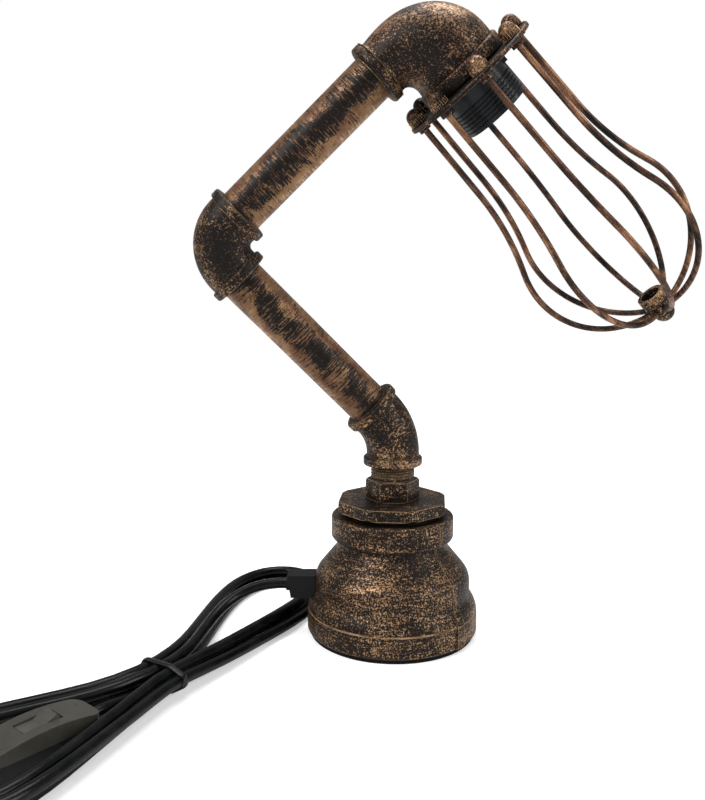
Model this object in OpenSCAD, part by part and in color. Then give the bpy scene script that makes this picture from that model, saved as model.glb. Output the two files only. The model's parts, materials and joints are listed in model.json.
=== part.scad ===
// Table lamp built from malleable iron pipe fittings: a reducing socket as the foot,
// three screwed joints, a wire guard round a screw-in lamp holder, and a mains lead.
// Millimetres, +Z up, origin on the table at the centre of the foot.

/* [Foot] */
// Outside diameter of the wide band of the reducing socket
band_d = 108.6; // [100:0.2:120]
// Height of the socket above its pad
socket_h = 74.5; // [70:0.5:90]
// Thickness of the pad under the socket
pad_t = 2.5; // [1.5:0.5:4]
// Diameter of the straight belly above the band
belly_d = 98.8; // [94:0.2:104]
// Diameter of the neck under the collar
neck_d = 68.5; // [66:0.5:72]
// Diameter of the collar
collar_d = 77.4; // [74:0.2:84]
// Height of the collar
collar_h = 15; // [10:0.5:18]
// Inside diameter of the socket's wide end
wide_bore_d = 88.8; // [84:0.2:90]
// Inside diameter of the collar
collar_bore_d = 58.8; // [56:0.2:60]
// Height of the cord outlet above the table
outlet_z = 30.2; // [27:0.1:32]

/* [Bushing and nipple] */
// Distance across the corners of the octagon
octagon_d = 71.6; // [64:0.2:76]
// Thickness of the octagon
octagon_t = 7; // [5:0.5:10]
// Thread left showing between collar and octagon
bushing_gap = 3; // [1:0.5:6]
// Distance across the corners of the nipple's hexagon
hexagon_d = 34; // [32:0.5:40]
// Height of the nipple's hexagon
hexagon_h = 12.7; // [9:0.1:16]
// Thread left showing above the hexagon
nipple_gap = 9.2; // [4:0.1:14]

/* [Pipes] */
// Outside diameter of the pipes
pipe_d = 26.9; // [26:0.1:28]
// Inside diameter of the pipes
pipe_bore_d = 21.7; // [18:0.1:22.5]
// Diameter over the pipe threads
thread_d = 26.4; // [25:0.1:26.8]
// Depth of each threaded socket
socket_depth = 12; // [9:0.5:14]
// Lower pipe, from elbow centre to elbow centre
lower_reach = 158.7; // [120:0.1:220]
// Upper pipe, from elbow centre to elbow centre
upper_reach = 171.7; // [140:0.1:220]

/* [Elbows] */
// Diameter of the bands on the small sockets
small_band_d = 37; // [35:0.5:40]
// Width of those bands
small_band_w = 5.5; // [4:0.5:7]
// Diameter of the elbow bodies
elbow_d = 33; // [32:0.5:34]
// Centre to face of the 45 degree elbow
reach_45 = 22.5; // [21.5:0.5:27]
// Bend radius of the 45 degree elbow
bend_45 = 36; // [30:1:38]
// Centre to face of the 90 degree elbow
reach_90 = 27.5; // [27:0.5:32]
// Bend radius of the 90 degree elbow
bend_90 = 20; // [18:0.5:21]
// Centre to face of the reducing elbow at its small end
reach_small = 38.5; // [38:0.5:42]
// Centre to face of the reducing elbow at its large end
reach_large = 36; // [35:0.5:42]
// Bend radius of the reducing elbow
bend_reducing = 30; // [28:0.5:31]
// Diameter of the large band
large_band_d = 53.5; // [50:0.5:58]
// Width of the large band
large_band_w = 9; // [6:0.5:10]
// Body diameter of the reducing elbow at its large end
large_body_d = 49; // [46:0.5:49]

/* [Pose] */
// Turn of the whole arm about the upright nipple
arm_turn = 12.6; // [-90:0.1:90]
// Turn of the 90 degree elbow on the lower pipe
mid_turn = -11.3; // [-60:0.1:60]
// Turn of the reducing elbow on the upper pipe
head_turn = 0.6; // [-60:0.1:60]

/* [Guard] */
// Diameter of the guard plate
plate_d = 84; // [80:1:92]
// Thickness of the guard plate
plate_t = 2.5; // [1.5:0.1:4]
// Number of guard wires
wires = 8; // [4:1:10]
// Diameter of the wires
wire_d = 3.6; // [3:0.1:4.5]
// Diameter of the circle of the wires in the plate
wire_circle_d = 72; // [70:0.5:73]
// Flare of the wires below the plate, in degrees
flare = 1.6; // [1:0.1:3]
// Straight stretch of each wire
wire_straight = 49.5; // [40:0.5:60]
// Radius of the long outward curve of each wire
swell_radius = 163.5; // [140:0.5:190]
// Turn of that curve, in degrees
swell_turn = 19.6; // [15:0.1:22]
// Radius of the round end of the guard
dome_radius = 56.3; // [50:0.1:62]
// Outside diameter of the end ring
ring_d = 17; // [14:0.5:20]
// Bore of the end ring
ring_bore_d = 12.5; // [10:0.5:13]
// Length of the end ring
ring_h = 12.5; // [9:0.5:16]
// Diameter of the ball on the end ring
ball_d = 13; // [12.8:0.1:16]
// Turn of the first wire about the guard's axis
wire_turn = 0.3; // [0:0.1:45]
// Diameter of the domed nuts
nut_d = 10; // [8:0.5:11]
// Height of the domed nuts
nut_h = 9; // [8:0.5:12]

/* [Lamp holder] */
// Outside diameter of the holder
holder_d = 39; // [38:0.1:39.4]
// Wall of the holder
holder_wall = 2.4; // [2:0.1:3]
// Distance from the elbow's centre to the holder's mouth
mouth_reach = 62.8; // [60:0.2:72]
// Bore of the lamp thread
lamp_bore_d = 26.6; // [26.4:0.1:26.8]
// Wall of the lamp thread
lamp_wall = 0.5; // [0.4:0.1:0.8]

/* [Lead] */
// Diameter of the mains lead
cord_d = 6.6; // [6:0.1:6.8]
// Diameter of the twin wires inside the pipes
flex_d = 5.6; // [4:0.1:6.4]
// Length of the switch in the lead
switch_l = 56; // [52:1:60]
// Width of the switch
switch_w = 23; // [22:1:26]
// Height of the switch
switch_h = 17; // [16:0.5:19]
// Swing of the rocker, in degrees
rocker_swing = 24; // [16:1:28]

/* [Hidden] */
$fn = 64;

iron = "#4a382c";
copper = "#8a5a3a";
black = "#1c1c1e";
brass_tone = "#b8923f";

// Clearances: what turns, what is screwed tight, and what only lies beside
running = 0.05;
seat = 0.05;
free_gap = 0.3;

collar_top = pad_t + socket_h;
octagon_z = collar_top + bushing_gap;
hexagon_z = octagon_z + octagon_t;
elbow_face_z = hexagon_z + hexagon_h + nipple_gap;
elbow_z = elbow_face_z + reach_45;
socket_d = thread_d + 2 * running;
nipple_bore_d = 19;
tangent_45 = bend_45 * tan(22.5);

// ---- general shapes ----

// Points along an arc of a circle
function arc(cx, cy, r, from, to, n = 6) =
    [for (i = [0:n]) let (a = from + (to - from) * i / n) [cx + r * cos(a), cy + r * sin(a)]];

function unit(v) = v / norm(v);

// Ring of points round a centre, square to a direction, the first one level with it
function ring_at(centre, along, r, sides) =
    let (side = unit(cross([0, 0, 1], along)), up = cross(along, side))
    [for (k = [0:sides - 1]) let (a = 360 * k / sides)
        centre + r * (cos(a) * side + sin(a) * up)];

// Direction of a path at one of its points
function heading(path, i) =
    unit(path[min(i + 1, len(path) - 1)] - path[max(i - 1, 0)]);

// Smooth curve through chosen points, steps pieces between two of them
function smooth_path(p, steps) =
    let (last = len(p) - 1)
    concat([for (i = [0:last - 1], k = [0:steps - 1])
        let (t = k / steps,
             b = p[i], c = p[i + 1],
             a = i > 0 ? p[i - 1] : 2 * b - c,
             d = i < last - 1 ? p[i + 2] : 2 * c - b)
        0.5 * (2 * b + (c - a) * t + (2 * a - 5 * b + 4 * c - d) * t * t
            + (3 * b - a - 3 * c + d) * t * t * t)], [p[last]]);

// Solid through rings that all have the same number of points, in triangles
module loft(rings) {
    sides = len(rings[0]);
    last = len(rings) - 1;
    points = [for (ring = rings) each ring];
    walls = [for (i = [0:last - 1], k = [0:sides - 1])
        let (a = i * sides + k, b = i * sides + (k + 1) % sides) each
        [[a, b + sides, b], [a, a + sides, b + sides]]];
    start = [for (k = [1:sides - 2]) [0, k, k + 1]];
    end = [for (k = [1:sides - 2]) [last * sides, last * sides + k + 1, last * sides + k]];
    polyhedron(points = points, faces = concat(walls, start, end));
}

// Round bar bent from straight up towards +X
module bent_bar(r, bend, turn) {
    translate([bend, 0, 0]) rotate([90, 0, 180])
        rotate_extrude(angle = turn, $fn = 180) translate([bend, 0]) circle(r = r);
}

// Place at the end of such a bend
module after_bend(bend, turn) {
    translate([bend, 0, 0]) rotate([0, turn, 0]) translate([-bend, 0, 0]) children();
}

// Straight bar between bends: a hair thicker, and lapped over the bends it meets
lap = 0.5;
lap_step = 0.03;
module straight_bar(r, h, before = lap, after = lap) {
    translate([0, 0, -before]) cylinder(r = r + lap_step, h = h + before + after);
}

// Flat-topped ring with rounded outer edges, from z = 0 upwards
module band(d, w, edge = 1.2) {
    rotate_extrude()
        polygon(concat([[0, 0]], arc(d / 2 - edge, edge, edge, -90, 0, 4),
            arc(d / 2 - edge, w - edge, edge, 0, 90, 4), [[0, w]]));
}

// Rectangle with round corners, centred
module rounded(l, w, r) {
    square([l - 2 * r, w], center = true);
    square([l, w - 2 * r], center = true);
    for (x = [-1, 1], y = [-1, 1]) translate([x * (l / 2 - r), y * (w / 2 - r)]) circle(r = r);
}

// ---- places ----

module at_arm() translate([0, 0, elbow_z]) rotate([0, 0, 180 + arm_turn]) children();
module along_lower() at_arm() rotate([0, 45, 0]) children();
module at_mid() along_lower() translate([0, 0, lower_reach]) rotate([0, 0, mid_turn + 180])
    children();
module along_upper() at_mid() rotate([0, 90, 0]) children();
module at_head() along_upper() translate([0, 0, upper_reach]) rotate([0, 0, head_turn])
    children();
module along_head() at_head() rotate([0, 90, 0]) children();

// ---- foot ----

shoulder_turn = 33;
shoulder_r = 18;
waist_r = 6;
bell_turn = 39.4;
bell_r = 13.7;
throat_r = 10;
foot_wall = 5;

// Outline of the socket's outside, from the table up; grow makes the cast ribs
function foot_outline(grow = 0) =
    let (band_r = band_d / 2 + grow, belly_r = belly_d / 2 + grow, neck_r = neck_d / 2 + grow,
         collar_r = collar_d / 2 + grow * 0.6,
         band_top = pad_t + 11.5,
         step_r = band_r - shoulder_r * (1 - cos(shoulder_turn)),
         step_z = band_top + shoulder_r * sin(shoulder_turn),
         waist_start = belly_r + waist_r * (1 - cos(shoulder_turn)),
         waist_z = step_z + (step_r - waist_start) / tan(shoulder_turn)
             + waist_r * sin(shoulder_turn),
         collar_z = collar_top - collar_h,
         throat_z = collar_z - 0.8,
         throat_start = neck_r + throat_r * (1 - cos(bell_turn)),
         bell_end = belly_r - bell_r * (1 - cos(bell_turn)),
         bell_z = throat_z - throat_r * sin(bell_turn)
             - (bell_end - throat_start) / tan(bell_turn) - bell_r * sin(bell_turn))
    concat([[band_r - 1, pad_t], [band_r, pad_t + 1]],
        arc(band_r - shoulder_r, band_top, shoulder_r, 0, shoulder_turn),
        arc(belly_r + waist_r, waist_z, waist_r, 180 + shoulder_turn, 180, 4),
        arc(belly_r - bell_r, bell_z, bell_r, 0, bell_turn),
        arc(neck_r + throat_r, throat_z, throat_r, 180 + bell_turn, 180),
        [[neck_r, collar_z]],
        arc(collar_r - 2, collar_z + 2, 2, -90, 0, 4),
        arc(collar_r - 2, collar_top - 2, 2, 0, 90, 4));

module foot_solid(grow = 0, sweep = 360) {
    outline = foot_outline(grow);
    rotate_extrude(angle = sweep, $fn = 96)
        polygon(concat([[collar_bore_d / 2 - 4, pad_t]], outline,
            [[collar_bore_d / 2 - 4, collar_top]]));
}

module foot_hollow() {
    wide_r = wide_bore_d / 2;
    top_r = collar_bore_d / 2;
    cone_end = collar_top - collar_h - 6.3;
    cone_start = cone_end - (wide_r - top_r) / tan(bell_turn);
    rotate_extrude($fn = 96)
        polygon([[0, pad_t - 1], [wide_r, pad_t - 1], [wide_r, cone_start], [top_r, cone_end],
            [top_r, collar_top + 1], [0, collar_top + 1]]);
}

rib_azimuth = -43;
rib_w = 6;
seam_w = 1.6;

// Two opposite casting ribs: wide on the band, a fine seam above
module foot_rib(azimuth) {
    rib_sweep = 2 * asin(rib_w / band_d);
    seam_sweep = 2 * asin(seam_w / neck_d);
    rotate([0, 0, azimuth - rib_sweep / 2]) intersection() {
        foot_solid(1.1, rib_sweep);
        translate([0, 0, pad_t]) cylinder(r = band_d, h = 23);
    }
    rotate([0, 0, azimuth - seam_sweep / 2]) intersection() {
        foot_solid(0.6, seam_sweep);
        translate([0, 0, pad_t + 20]) cylinder(r = band_d, h = socket_h - 22);
    }
}

gland_bore_d = 9.4;
gland_stem_d = 9.2;

module base_socket() {
    color(iron) difference() {
        union() {
            foot_solid();
            foot_rib(rib_azimuth);
            foot_rib(rib_azimuth + 180);
        }
        foot_hollow();
        translate([-band_d, 0, outlet_z]) rotate([0, 90, 0])
            cylinder(d = gland_bore_d, h = band_d);
    }
}

module base_pad() {
    color(black) cylinder(d = band_d - 3.6, h = pad_t);
}

module octagon_bushing() {
    chamfer = 1.4;
    color(copper) difference() {
        union() {
            translate([0, 0, collar_top - 20])
                cylinder(d = collar_bore_d - 2 * seat, h = 20 + bushing_gap);
            translate([0, 0, octagon_z]) intersection() {
                rotate([0, 0, 196.9]) cylinder(d = octagon_d, h = octagon_t, $fn = 8);
                rotate_extrude() polygon([[0, 0], [octagon_d / 2 - chamfer, 0],
                    [octagon_d / 2, chamfer], [octagon_d / 2, octagon_t - chamfer],
                    [octagon_d / 2 - chamfer, octagon_t], [0, octagon_t]]);
            }
        }
        translate([0, 0, collar_top - 21])
            cylinder(d = thread_d + 2 * seat, h = 22 + bushing_gap + octagon_t);
    }
}

module hex_nipple() {
    chamfer = 1;
    color(iron) difference() {
        union() {
            translate([0, 0, hexagon_z - 17]) cylinder(d = thread_d, h = 17);
            translate([0, 0, hexagon_z]) intersection() {
                cylinder(d = hexagon_d, h = hexagon_h, $fn = 6);
                rotate_extrude() polygon([[0, 0], [hexagon_d / 2 - chamfer, 0],
                    [hexagon_d / 2, chamfer], [hexagon_d / 2, hexagon_h - chamfer],
                    [hexagon_d / 2 - chamfer, hexagon_h], [0, hexagon_h]]);
            }
            translate([0, 0, hexagon_z + hexagon_h])
                cylinder(d = thread_d, h = nipple_gap + socket_depth - 2);
        }
        translate([0, 0, hexagon_z - 18]) cylinder(d = nipple_bore_d, h = 80);
    }
}

// ---- elbows and pipes ----

// Even elbow: centre at the origin, one end down, the other turned towards +X
module elbow(turn, bend, reach) {
    tangent = bend * tan(turn / 2);
    socket_r = socket_d / 2;
    water_r = pipe_bore_d / 2 - 0.6;
    stub = reach - tangent;
    difference() {
        union() {
            translate([0, 0, -reach]) band(small_band_d, small_band_w);
            translate([0, 0, -reach + 1]) straight_bar(elbow_d / 2, stub - 1, 0);
            translate([0, 0, -tangent]) {
                bent_bar(elbow_d / 2, bend, turn);
                after_bend(bend, turn) straight_bar(elbow_d / 2, stub - 1, lap, 0);
                after_bend(bend, turn) translate([0, 0, stub]) mirror([0, 0, 1])
                    band(small_band_d, small_band_w);
            }
        }
        translate([0, 0, -tangent]) {
            translate([0, 0, -stub]) straight_bar(water_r, stub, 1);
            bent_bar(water_r, bend, turn);
            after_bend(bend, turn) straight_bar(water_r, stub, lap, 1);
        }
        translate([0, 0, -reach - 1]) cylinder(r = socket_r, h = socket_depth + 1);
        translate([0, 0, -tangent]) after_bend(bend, turn)
            translate([0, 0, stub - socket_depth]) cylinder(r = socket_r, h = socket_depth + 1);
    }
}

// Pipe along +Z between the faces of two fittings, its threads inside their sockets
module pipe(from, to) {
    thread_in = socket_depth - 1;
    difference() {
        union() {
            translate([0, 0, from - thread_in]) cylinder(d = thread_d, h = thread_in);
            translate([0, 0, from]) cylinder(d = pipe_d, h = to - from - free_gap);
            translate([0, 0, to - free_gap]) cylinder(d = thread_d, h = thread_in + free_gap);
        }
        translate([0, 0, from - socket_depth])
            cylinder(d = pipe_bore_d, h = to - from + 2 * socket_depth);
    }
}

module elbow_45() color(iron) at_arm() elbow(45, bend_45, reach_45);
module lower_pipe() color(copper) along_lower() pipe(reach_45, lower_reach - reach_90);
module elbow_90() color(iron) at_mid() elbow(90, bend_90, reach_90);
module upper_pipe() color(copper) along_upper() pipe(reach_90, upper_reach - reach_small);

// Rings of the reducing elbow's bend, growing from one radius to the other
function reducing_rings(small_r, large_r, sides, steps) =
    [for (i = [0:steps]) let (a = 90 * i / steps, r = small_r + (large_r - small_r) * i / steps)
        [for (k = [0:sides - 1]) let (b = -360 * k / sides)
            [bend_reducing * (1 - cos(a)) - r * cos(b) * cos(a), r * sin(b),
             bend_reducing * (sin(a) - 1) + r * cos(b) * sin(a)]]];

holder_seat_d = holder_d + 2 * seat;
port_depth = 12;

module reducing_elbow() {
    small_r = elbow_d / 2;
    large_r = large_body_d / 2;
    sides = 32;
    color(copper) at_head() difference() {
        union() {
            loft(reducing_rings(small_r, large_r, sides, 12));
            translate([0, 0, -reach_small]) band(small_band_d, small_band_w);
            translate([0, 0, -reach_small + 1])
                cylinder(r = small_r - 0.1, h = reach_small - bend_reducing);
            rotate([0, 90, 0]) {
                translate([0, 0, reach_large]) mirror([0, 0, 1]) band(large_band_d, large_band_w);
                translate([0, 0, bend_reducing - 1])
                    cylinder(r = large_r - 0.2, h = reach_large - bend_reducing);
            }
        }
        loft(reducing_rings(pipe_bore_d / 2 - 0.6, holder_d / 2 - 0.3, 24, 8));
        translate([0, 0, -reach_small]) cylinder(d = pipe_bore_d - 1.4, h = reach_small
            - bend_reducing + 1);
        translate([0, 0, -reach_small - 1]) cylinder(d = socket_d, h = socket_depth + 1);
        rotate([0, 90, 0]) translate([0, 0, reach_large - port_depth])
            cylinder(d = holder_seat_d, h = port_depth + 1);
    }
}

// ---- guard ----

plate_z = reach_large;
plate_under = plate_z + plate_t;
wire_r = wire_d / 2;
stud_h = nut_h - 3.5;
collar_ring_h = 3;
kink_radius = 60;
kink_rise = kink_radius * sin(flare);
foot_r = wire_circle_d / 2;
straight_r = foot_r + kink_radius * (1 - cos(flare));
swell_start_r = straight_r + wire_straight * sin(flare);
dome_start_turn = flare + swell_turn;
dome_start_r = swell_start_r + swell_radius * (cos(flare) - cos(dome_start_turn));
dome_start_z = plate_under + kink_rise + wire_straight * cos(flare)
    + swell_radius * (sin(dome_start_turn) - sin(flare));
dome_centre_r = dome_start_r - dome_radius * cos(dome_start_turn);
dome_centre_z = dome_start_z + dome_radius * sin(dome_start_turn);
wire_end_r = ring_d / 2 + 0.6;
dome_end_turn = asin((wire_end_r - dome_centre_r) / dome_radius);
dome_turn = dome_start_turn + 90 - dome_end_turn;
wire_end_z = dome_centre_z + dome_radius * cos(dome_end_turn);
ring_end_z = wire_end_z + wire_r + 0.6;

module cage_plate() {
    color(iron) along_head() translate([0, 0, plate_z]) difference() {
        rotate_extrude() polygon([[0, 0], [plate_d / 2 - 0.6, 0], [plate_d / 2, 0.6],
            [plate_d / 2, plate_t], [0, plate_t]]);
        translate([0, 0, -1]) cylinder(d = holder_d + 2 * free_gap, h = plate_t + 2);
        for (i = [0:wires - 1]) rotate([0, 0, wire_turn + 360 * i / wires])
            translate([foot_r, 0, -1]) cylinder(d = wire_d + 2 * seat, h = plate_t + 2);
    }
}

// One wire: stud through the plate, straight flare, long swell, round end
module guard_wire() {
    translate([foot_r, 0, plate_z - stud_h]) {
        straight_bar(wire_r, stud_h + plate_t, 0);
        translate([0, 0, stud_h + plate_t]) {
            bent_bar(wire_r, kink_radius, flare);
            after_bend(kink_radius, flare) {
                straight_bar(wire_r, wire_straight);
                translate([0, 0, wire_straight]) {
                    bent_bar(wire_r, swell_radius, swell_turn);
                    after_bend(swell_radius, swell_turn) {
                        straight_bar(wire_r, 0);
                        rotate([0, 0, 180]) bent_bar(wire_r, dome_radius, dome_turn);
                    }
                }
            }
        }
    }
}

module cage_wires() {
    color(iron) along_head() for (i = [0:wires - 1])
        rotate([0, 0, wire_turn + 360 * i / wires]) guard_wire($fn = 24);
}

module cage_nuts() {
    r = nut_d / 2;
    color(copper) along_head() for (i = [0:wires - 1])
        rotate([0, 0, wire_turn + 360 * i / wires])
        translate([foot_r, 0, plate_z]) mirror([0, 0, 1]) difference() {
            rotate_extrude($fn = 48) polygon(concat([[0, 0], [r - 0.4, 0], [r, 0.4]],
                arc(0, nut_h - r, r, 0, 90)));
            translate([0, 0, -1]) cylinder(d = wire_d + 2 * seat, h = stud_h + 1.4, $fn = 32);
        }
}

module cage_collars() {
    color(iron) along_head() for (i = [0:wires - 1])
        rotate([0, 0, wire_turn + 360 * i / wires])
        translate([foot_r, 0, plate_under]) difference() {
            cylinder(d = wire_d + 3.6, h = collar_ring_h, $fn = 32);
            translate([0, 0, -1])
                cylinder(d = wire_d + 4 * seat, h = collar_ring_h + 2, $fn = 32);
        }
}

module cage_ring() {
    color(iron) along_head() translate([0, 0, ring_end_z - ring_h]) difference() {
        cylinder(d = ring_d, h = ring_h);
        translate([0, 0, -1]) cylinder(d = ring_bore_d, h = ring_h + 2);
    }
}

// Ball that rests in the mouth of the end ring, with the plug that fills its bore
module cage_finial() {
    ball_r = ball_d / 2;
    plug_r = ring_bore_d / 2 - seat;
    sunk = sqrt(ball_r * ball_r - plug_r * plug_r);
    color(copper) along_head() translate([0, 0, ring_end_z]) rotate_extrude()
        polygon(concat([[0, -6], [plug_r, -6], [plug_r, 0]],
            arc(0, sunk, ball_r, -asin(sunk / ball_r) , 90, 12)));
}

// ---- lamp holder ----

holder_r = holder_d / 2;
holder_bore_r = holder_r - holder_wall;
shell_start = reach_large - 6;
cap_start = shell_start - 12;
insulator_z = shell_start;
insulator_t = 5;
lamp_bore_r = lamp_bore_d / 2;
lip_h = 2.5;

module holder_shell() {
    lug_h = 6.5;
    lug_w = 9;
    lug_out = 2.8;
    color(black) along_head() difference() {
        union() {
            translate([0, 0, shell_start]) cylinder(r = holder_r, h = mouth_reach - shell_start);
            intersection() {
                translate([0, 0, plate_under]) cylinder(r = holder_r + lug_out, h = lug_h);
                translate([-holder_r * 2, -lug_w / 2, plate_under])
                    cube([holder_r * 4, lug_w, lug_h]);
            }
        }
        translate([0, 0, shell_start - 1])
            cylinder(r = holder_bore_r, h = mouth_reach - shell_start + 1 - lip_h);
        translate([0, 0, shell_start])
            cylinder(r = lamp_bore_r + lamp_wall + 0.5, h = mouth_reach - shell_start + 1);
    }
}

module holder_cap() {
    neck = 12;
    color(black) along_head() difference() {
        translate([0, 0, cap_start]) rotate_extrude()
            polygon([[0, 0], [neck, 0], [holder_r, 10], [holder_r, 12], [0, 12]]);
        translate([0, 0, cap_start + 2]) rotate_extrude()
            polygon([[0, 0], [neck - 3, 0], [holder_bore_r, 9], [holder_bore_r, 11], [0, 11]]);
        translate([0, 0, cap_start - 1]) cylinder(d = flex_d + 1, h = 5);
    }
}

module holder_insulator() {
    color("white") along_head() translate([0, 0, insulator_z]) difference() {
        cylinder(r = holder_bore_r - seat, h = insulator_t);
        for (y = [-1, 1]) translate([0, 9 * y, -1]) cylinder(d = 3, h = 3);
    }
}

// Thread shell, wider round the centre contact, on a flange that rests on the insulator
module holder_thread_shell() {
    skirt_h = 6;
    skirt_r = lamp_bore_r + 0.8;
    color(brass_tone) along_head() translate([0, 0, insulator_z + insulator_t]) difference() {
        union() {
            cylinder(r = lamp_bore_r + lamp_wall, h = mouth_reach - 1 - insulator_z - insulator_t);
            cylinder(r = skirt_r + lamp_wall, h = skirt_h + lamp_wall);
            cylinder(r = holder_bore_r - 0.4, h = 0.8);
        }
        translate([0, 0, -1]) cylinder(r = skirt_r, h = skirt_h + 1);
        cylinder(r = lamp_bore_r, h = mouth_reach);
    }
}

// Springy centre contact, a bent strip standing on the insulator
module holder_contact() {
    color(brass_tone) along_head() translate([0, 4, insulator_z + insulator_t])
        rotate([90, 0, 0]) linear_extrude(8)
        polygon([[-9, 0], [-3, 0], [-1, 0.7], [3, 4.2], [5, 4.2], [5, 5], [2.6, 5], [-1.4, 1.5],
            [-3.2, 0.8], [-9, 0.8]]);
}

module holder_terminals() {
    color(brass_tone) along_head() for (y = [-1, 1]) {
        translate([-3, 9 * y - 2.5, insulator_z - 6]) difference() {
            cube([6, 5, 6]);
            translate([3, 6, 2.5]) rotate([90, 0, 0]) cylinder(d = 2.2, h = 7);
        }
        translate([0, 9 * y, insulator_z]) cylinder(d = 2.6, h = 1.8);
    }
}

// ---- wires inside the pipes ----

flex_r = flex_d / 2;
head_bend = 14;
base_bend = 16;
lock_nut_t = 3.5;
lock_nut_x = -wide_bore_d / 2 + 0.6;

module lead_base() {
    start_x = lock_nut_x + lock_nut_t + 0.5;
    color(black) translate([0, 0, outlet_z]) {
        translate([start_x, 0, 0]) rotate([0, 90, 0])
            straight_bar(flex_r, -base_bend - start_x, 0);
        translate([-base_bend, 0, 0]) rotate([0, 90, 0]) rotate([0, 0, 180])
            bent_bar(flex_r, base_bend, 90);
        translate([0, 0, base_bend])
            straight_bar(flex_r, elbow_z - tangent_45 - free_gap - outlet_z - base_bend, lap, 0);
    }
}

module lead_lower() {
    color(black) {
        at_arm() translate([0, 0, -tangent_45]) bent_bar(flex_r, bend_45, 45);
        along_lower() translate([0, 0, tangent_45])
            straight_bar(flex_r, lower_reach - tangent_45 - bend_90 - free_gap, lap, 0);
    }
}

module lead_upper() {
    color(black) {
        at_mid() translate([0, 0, -bend_90]) bent_bar(flex_r, bend_90, 90);
        along_upper() translate([0, 0, bend_90])
            straight_bar(flex_r, upper_reach - bend_90 - head_bend - free_gap, lap, 0);
    }
}

module lead_head() {
    color(black) {
        at_head() translate([0, 0, -head_bend]) bent_bar(flex_r, head_bend, 90);
        along_head() translate([0, 0, head_bend])
            straight_bar(flex_r, insulator_z - 6.3 - head_bend, lap, 0);
    }
}

// ---- cord outlet ----

outlet_x = -band_d / 2 - 13.7;
outlet_w = 14;
outlet_half_h = 7.2;

// Housing against the foot, with a stem through its wall
module cord_gland() {
    low = outlet_z - outlet_half_h;
    high = outlet_z + outlet_half_h;
    inner_x = -wide_bore_d / 2 + 4.4;
    stem_x = outlet_x + 8;
    color(black) {
        difference() {
            translate([0, outlet_w / 2, 0]) rotate([90, 0, 0]) linear_extrude(outlet_w)
                polygon([[inner_x, low], [outlet_x + 3, low], [outlet_x + 1, high],
                    [inner_x, high]]);
            foot_solid(0.15);
            cylinder(d = wide_bore_d, h = 80);
        }
        translate([outlet_x, 0, outlet_z]) rotate([0, 90, 0])
            cylinder(d = cord_d + 2.4, h = 6);
        translate([stem_x, 0, outlet_z]) rotate([0, 90, 0])
            cylinder(d = gland_stem_d, h = lock_nut_x + lock_nut_t + 0.5 - stem_x);
    }
}

module gland_nut() {
    color(brass_tone) translate([lock_nut_x, 0, outlet_z]) rotate([0, 90, 0]) difference() {
        cylinder(d = 15, h = lock_nut_t, $fn = 6);
        translate([0, 0, -1]) cylinder(d = gland_stem_d + 2 * seat, h = lock_nut_t + 2);
    }
}

// ---- mains lead ----

cord_r = cord_d / 2;
cord_sides = 8;
floor_lift = 0.1;

// The put-away lead lies in long loops, drawn in under a tie. It starts in the upper layer
// on the inside, winds outwards, climbs down along a run and winds in again below.
tie_x = -130;
tie_y = -84;
tie_heading = 60;
tie_bend = 100;
tie_bend_turn = 22;
lobe_far = 178;
lobe_near = 152;
lobe_far_swell = 56;
lobe_near_swell = 88;
swell_power = 1.6;
waist_half = 12.9;
loop_step = cord_d + 0.65;
layer_step = cord_d + 0.5;
lower_z = cord_r + floor_lift;
tie_t = 1.2;
tie_w = 5;
tie_rise_span = 34;
loop_from = 92;
loop_to = 1172;
turn_back = 1.5;
climb_half = 0.13;
rings_per_loop = 24;

// Heading and place of the bundle's own axis, u mm from the tie
function bundle_clamp(u) = max(-tie_bend / 2, min(tie_bend / 2, u));
function bundle_heading(u) = tie_heading + tie_bend_turn * bundle_clamp(u) / tie_bend;
function bundle_point(u) =
    let (r = tie_bend / (tie_bend_turn * PI / 180), h = bundle_heading(u),
         rest = u - bundle_clamp(u))
    [tie_x + r * (sin(h) - sin(tie_heading)) + rest * cos(h),
     tie_y - r * (cos(h) - cos(tie_heading)) + rest * sin(h)];

// A point v mm to the left of that axis at height z
function beside_bundle(u, v, z) =
    let (p = bundle_point(u), h = bundle_heading(u)) [p[0] - v * sin(h), p[1] + v * cos(h), z];

// Outer loop in (u, v) at angle t
function loop_uv(t) =
    let (u = (lobe_far - lobe_near) / 2 + (lobe_far + lobe_near) / 2 * cos(t),
         g = u > 0 ? u / lobe_far : -u / lobe_near,
         swell = u > 0 ? lobe_far_swell : lobe_near_swell)
    [u, sin(t) * (waist_half + swell * pow(g, swell_power))];

function tie_rise(u) = (tie_t + 0.3) * exp(-u * u / tie_rise_span / tie_rise_span);

function blend(x) = let (c = max(0, min(1, x))) c * c * (3 - 2 * c);

function hank_point(t) =
    let (s = (t - loop_from) / 360,
         inward = loop_step * abs(s - turn_back),
         p = loop_uv(t), q = (loop_uv(t + 1) - loop_uv(t - 1)),
         n = [-q[1], q[0]] / norm(q),
         w = p + n * inward,
         down = blend((s - turn_back + climb_half) / (2 * climb_half)))
    beside_bundle(w[0], w[1], lower_z + layer_step * (1 - down) + tie_rise(w[0]));

hank_steps = round((loop_to - loop_from) / 360 * rings_per_loop);
hank_path = [for (i = [0:hank_steps])
    hank_point(loop_from + (loop_to - loop_from) * i / hank_steps)];

function hank_heading(t) = unit(hank_point(t + 0.5) - hank_point(t - 0.5));
hank_in = hank_heading(loop_from);
hank_out = hank_heading(loop_to);

// Tube along a path whose first and last headings are given
module tube(path, first, final, sides) {
    last = len(path) - 1;
    loft([for (i = [0:last]) ring_at(path[i],
        i == 0 ? first : i == last ? final : heading(path, i), cord_r, sides)]);
}

module cord_hank() color(black) tube(hank_path, hank_in, hank_out, 6);

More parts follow.
